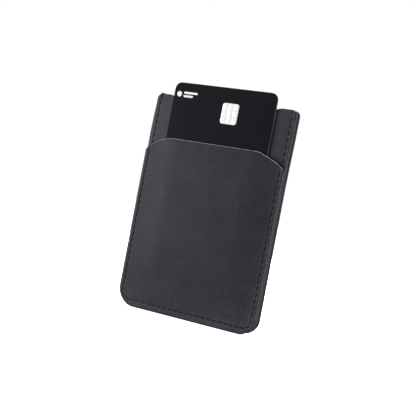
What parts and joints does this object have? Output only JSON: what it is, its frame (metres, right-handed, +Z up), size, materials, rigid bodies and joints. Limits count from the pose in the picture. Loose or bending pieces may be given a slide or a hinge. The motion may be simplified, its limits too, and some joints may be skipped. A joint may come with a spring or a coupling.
{
  "type": "card holder",
  "caption": "Slim upright leather card holder: stitched front pocket with an arched mouth, taller back panel with a thumb scoop, and one chip card part-way out.",
  "frame": {"origin": "middle of the holder's bottom edge, halfway through its thickness", "axes": "+Z up the holder towards the pocket's mouth, -Y out of the front face, X across the width"},
  "size_m": [0.0732, 0.007, 0.1073],
  "materials": {
    "leather": "matte charcoal smooth-grain leather",
    "lining": "thin black woven lining",
    "core": "bonded leather board",
    "thread": "black waxed thread",
    "card": "satin black card plastic",
    "chip": "pale silver contact plate",
    "stripe": "glossy black magnetic film",
    "signature": "matte off-white writing film"
  },
  "bodies": {
    "holder": {"front_panel": "leather", "front_lining": "lining", "back_panel": "leather", "back_core": "core", "rear_panel": "leather", "pocket_seam_thread": "thread", "rear_seam_thread": "thread", "left_upper_seam_thread": "thread", "right_upper_seam_thread": "thread"},
    "card": {"card_body": "card", "contact_chip": "chip", "magnetic_stripe": "stripe", "signature_strip": "signature"}
  },
  "joints": [
    {"name": "card_slide", "type": "slide", "parent": "holder", "child": "card", "axis": [0, 0, 1], "range_m": [-0.0138, 0.05]}
  ]
}
